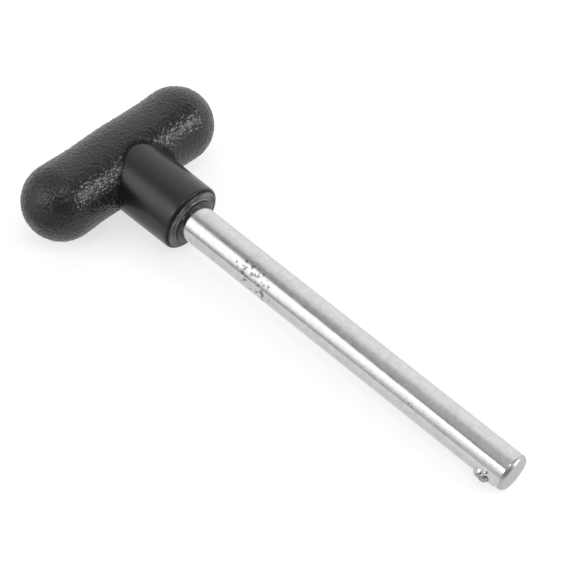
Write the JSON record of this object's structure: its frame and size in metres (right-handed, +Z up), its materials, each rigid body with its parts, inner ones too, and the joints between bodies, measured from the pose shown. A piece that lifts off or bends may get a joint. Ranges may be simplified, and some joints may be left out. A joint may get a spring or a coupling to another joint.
{
  "type": "weight stack selector pin",
  "caption": "T-handled selector pin for a gym weight stack: a round shaft with a sprung ball detent near its tip and a moulded grip bar across its head.",
  "frame": {"origin": "on the table, under the middle of the pin's overall length and width", "axes": "+X along the grip bar, the shaft points to -Y and dips to the table, +Z up"},
  "size_m": [0.0612, 0.1418, 0.0207],
  "materials": {
    "plated_steel": "bright plated, fine turned",
    "black_moulding": "leather grain on the bar, smooth satin collar",
    "ball_steel": "polished",
    "spring_steel": "drawn wire"
  },
  "bodies": {
    "pin": {"shaft": "plated_steel", "handle": "black_moulding", "detent_spring": "spring_steel"},
    "ball": {"detent_ball": "ball_steel"}
  },
  "joints": [
    {"name": "detent_press", "type": "slide", "parent": "pin", "child": "ball", "axis": [0.9397, -0.014, 0.3417], "range_m": [0, 0.0012], "stiffness_N_per_m": 1500, "springref_m": -0.0008, "deforming": ["detent_spring"]}
  ]
}
